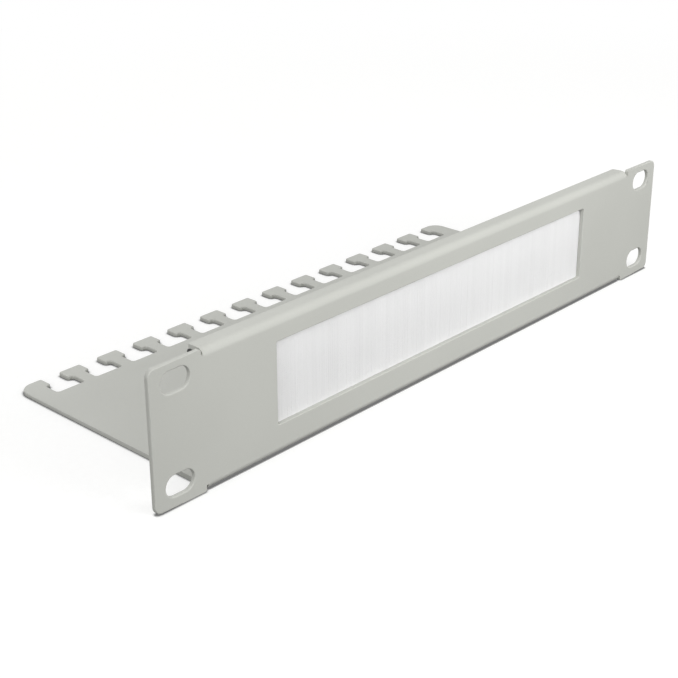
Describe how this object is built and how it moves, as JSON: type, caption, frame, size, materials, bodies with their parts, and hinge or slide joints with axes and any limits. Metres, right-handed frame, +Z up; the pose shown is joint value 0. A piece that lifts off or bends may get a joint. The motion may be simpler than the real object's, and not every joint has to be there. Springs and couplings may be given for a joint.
{
  "type": "rack brush strip panel",
  "caption": "Low rack panel folded from sheet steel, with slotted ears, a bristle-filled cable window and a rear tray whose comb edge takes cable ties.",
  "frame": {"origin": "centre of the four ear slots, on the rear face of the ears, which seats on the rack's rails", "axes": "+X along the panel's width, +Y to the rear of the rack, over the tray, +Z up"},
  "size_m": [0.254, 0.092, 0.0444],
  "materials": {
    "powder_coat": "light grey fine-textured powder coat on sheet steel",
    "channel": "black lacquered steel strip",
    "wire": "drawn steel wire",
    "bristle": "pale nylon filaments",
    "tape": "double-sided tape"
  },
  "bodies": {
    "root": {"panel": "powder_coat", "brush_channel": "channel", "core_wire": "wire", "bristles": "bristle", "mounting_tape": "tape"}
  },
  "joints": []
}
